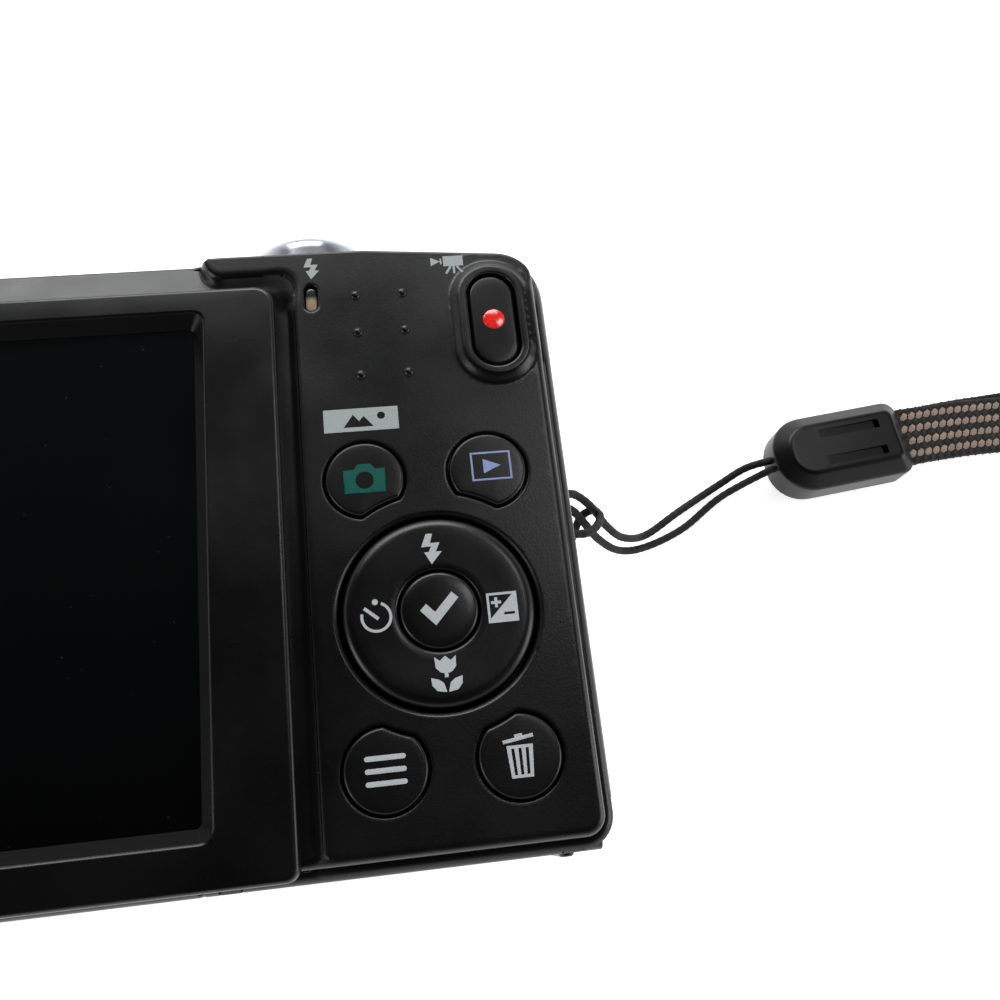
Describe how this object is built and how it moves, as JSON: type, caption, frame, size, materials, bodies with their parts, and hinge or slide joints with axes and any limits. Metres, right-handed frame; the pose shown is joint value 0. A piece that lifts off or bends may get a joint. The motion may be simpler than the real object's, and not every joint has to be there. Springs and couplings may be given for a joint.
{
  "type": "compact digital camera",
  "caption": "Compact digital camera with a collapsing lens, rear screen, button panel, battery door and wrist strap, lying on its front.",
  "frame": {"origin": "on the surface the camera lies on, below the middle of its body (strap left out)", "axes": "+X to the right seen from the screen side, +Y towards the top cover with the shutter button, +Z out of the screen"},
  "size_m": [0.2623, 0.0656, 0.0288],
  "materials": {
    "case_black": "fine satin speckle",
    "front_shell": "satin metallic paint",
    "top_shell": "satin champagne paint",
    "bezel_black": "fine satin speckle",
    "window_clear": "polished",
    "panel_grey": "satin",
    "button_black": "fine satin",
    "button_red": "gloss",
    "chrome_trim": "polished",
    "ring_grey": "satin",
    "barrel_grey": "satin paint",
    "lens_glass": "coated",
    "inner_black": "matt",
    "steel": "pressed sheet",
    "board_green": "solder mask",
    "contact_gold": "plated",
    "cell_can": "printed sleeve without print",
    "mirror_foil": "bright",
    "lamp_clear": "moulded",
    "lamp_amber": "moulded",
    "capacitor_sleeve": "shrunk sleeve",
    "card_blue": "satin",
    "cord_black": "braided nylon",
    "webbing_black": "woven with pale rows",
    "cap_dark": "satin"
  },
  "bodies": {
    "camera_body": {"front_cover": "front_shell", "rear_cover": "case_black", "top_cover": "top_shell", "screen_bezel": "bezel_black", "screen_window": "window_clear", "lcd_panel": "panel_grey", "chassis": "steel", "main_board": "board_green", "key_board": "board_green", "lens_ring": "ring_grey", "lens_housing": "inner_black", "image_sensor": "panel_grey", "rear_lens_group": "inner_black", "zoom_motor": "steel", "flash_window": "lamp_clear", "flash_reflector": "mirror_foil", "flash_tube": "lamp_clear", "flash_capacitor": "capacitor_sleeve", "timer_lamp": "lamp_amber", "microphone": "steel", "speaker": "inner_black", "battery_box": "inner_black", "battery_left": "cell_can", "battery_right": "cell_can", "battery_contacts": "contact_gold", "card_slot": "steel", "usb_connector": "steel", "connector_cover_pin": "steel", "tripod_socket": "steel", "strap_eyelet": "ring_grey", "flash_ready_lamp": "lamp_clear", "case_screws": "steel", "strap_cord": "cord_black", "strap_cap": "cap_dark", "strap_webbing": "webbing_black"},
    "lens_outer": {"lens_barrel_outer": "barrel_grey"},
    "lens_middle": {"lens_barrel_middle": "barrel_grey"},
    "lens_inner": {"lens_barrel_inner": "barrel_grey", "front_lens": "lens_glass"},
    "blade_upper": {"barrier_blade_upper": "inner_black"},
    "blade_lower": {"barrier_blade_lower": "inner_black"},
    "battery_door": {"battery_door": "case_black", "door_contact": "contact_gold"},
    "door_bracket": {"door_bracket": "steel"},
    "connector_cover": {"connector_cover": "case_black"},
    "memory_card": {"memory_card": "card_blue"},
    "shutter_button": {"shutter_button": "chrome_trim"},
    "zoom_ring": {"zoom_ring": "chrome_trim"},
    "power_button": {"power_button": "button_black"},
    "movie_button": {"movie_button": "button_black", "movie_button_dot": "button_red"},
    "mode_button": {"mode_button": "button_black"},
    "playback_button": {"playback_button": "button_black"},
    "menu_button": {"menu_button": "button_black"},
    "delete_button": {"delete_button": "button_black"},
    "selector_pad": {"selector_pad": "inner_black"},
    "multi_selector": {"multi_selector": "button_black"},
    "ok_button": {"ok_button": "button_black"}
  },
  "joints": [
    {"name": "shutter_press", "type": "slide", "parent": "camera_body", "child": "shutter_button", "axis": [0, -1, 0], "range_m": [0, 0.0012], "stiffness_N_per_m": 500},
    {"name": "zoom_turn", "type": "hinge", "parent": "camera_body", "child": "zoom_ring", "pos_m": [0.0241, 0.03, 0.0167], "axis": [0, 1, 0], "range_deg": [-20, 20], "stiffness_Nm_per_rad": 0.01},
    {"name": "power_press", "type": "slide", "parent": "camera_body", "child": "power_button", "axis": [0, -1, 0], "range_m": [0, 0.0008], "stiffness_N_per_m": 600},
    {"name": "movie_press", "type": "slide", "parent": "camera_body", "child": "movie_button", "axis": [0, 0, -1], "range_m": [0, 0.0004], "stiffness_N_per_m": 600},
    {"name": "mode_press", "type": "slide", "parent": "camera_body", "child": "mode_button", "axis": [0, 0, -1], "range_m": [0, 0.0004], "stiffness_N_per_m": 600},
    {"name": "playback_press", "type": "slide", "parent": "camera_body", "child": "playback_button", "axis": [0, 0, -1], "range_m": [0, 0.0004], "stiffness_N_per_m": 600},
    {"name": "menu_press", "type": "slide", "parent": "camera_body", "child": "menu_button", "axis": [0, 0, -1], "range_m": [0, 0.0004], "stiffness_N_per_m": 600},
    {"name": "delete_press", "type": "slide", "parent": "camera_body", "child": "delete_button", "axis": [0, 0, -1], "range_m": [0, 0.0004], "stiffness_N_per_m": 600},
    {"name": "selector_left_right", "type": "hinge", "parent": "camera_body", "child": "selector_pad", "pos_m": [0.0343, -0.0107, 0.026], "axis": [0, 1, 0], "range_deg": [-2.5, 2.5], "stiffness_Nm_per_rad": 0.05},
    {"name": "selector_up_down", "type": "hinge", "parent": "selector_pad", "child": "multi_selector", "pos_m": [0.0343, -0.0107, 0.026], "axis": [1, 0, 0], "range_deg": [-2.5, 2.5], "stiffness_Nm_per_rad": 0.05},
    {"name": "ok_press", "type": "slide", "parent": "camera_body", "child": "ok_button", "axis": [0, 0, -1], "range_m": [0, 0.0004], "stiffness_N_per_m": 600},
    {"name": "lens_extend", "type": "slide", "parent": "camera_body", "child": "lens_outer", "axis": [0, 0, -1], "range_m": [0, 0.009]},
    {"name": "lens_middle_extend", "type": "slide", "parent": "lens_outer", "child": "lens_middle", "axis": [0, 0, -1], "range_m": [0, 0.009]},
    {"name": "lens_inner_extend", "type": "slide", "parent": "lens_middle", "child": "lens_inner", "axis": [0, 0, -1], "range_m": [0, 0.009]},
    {"name": "barrier_upper_open", "type": "hinge", "parent": "lens_inner", "child": "blade_upper", "pos_m": [-0.0245, -0.0024, 0.0027], "axis": [0, 0, 1], "range_deg": [0, 30]},
    {"name": "barrier_lower_open", "type": "hinge", "parent": "lens_inner", "child": "blade_lower", "pos_m": [-0.0035, -0.0024, 0.0027], "axis": [0, 0, 1], "range_deg": [0, 30]},
    {"name": "door_slide", "type": "slide", "parent": "camera_body", "child": "door_bracket", "axis": [1, 0, 0], "range_m": [0, 0.003]},
    {"name": "door_swing", "type": "hinge", "parent": "door_bracket", "child": "battery_door", "pos_m": [0.0295, -0.0314, 0.0246], "axis": [-1, 0, 0], "range_deg": [0, 95]},
    {"name": "cover_swing", "type": "hinge", "parent": "camera_body", "child": "connector_cover", "pos_m": [-0.0472, -0.0112, 0.017], "axis": [0, 0, 1], "range_deg": [0, 100]},
    {"name": "card_slide", "type": "slide", "parent": "camera_body", "child": "memory_card", "axis": [0, -1, 0], "range_m": [-0.0008, 0.003]}
  ],
  "couplings": [
    {"joint": "lens_middle_extend", "follows": "lens_extend", "ratio": 1},
    {"joint": "lens_inner_extend", "follows": "lens_extend", "ratio": 1},
    {"joint": "barrier_upper_open", "follows": "lens_extend", "rad_per_m": 58.17},
    {"joint": "barrier_lower_open", "follows": "lens_extend", "rad_per_m": 58.17}
  ]
}
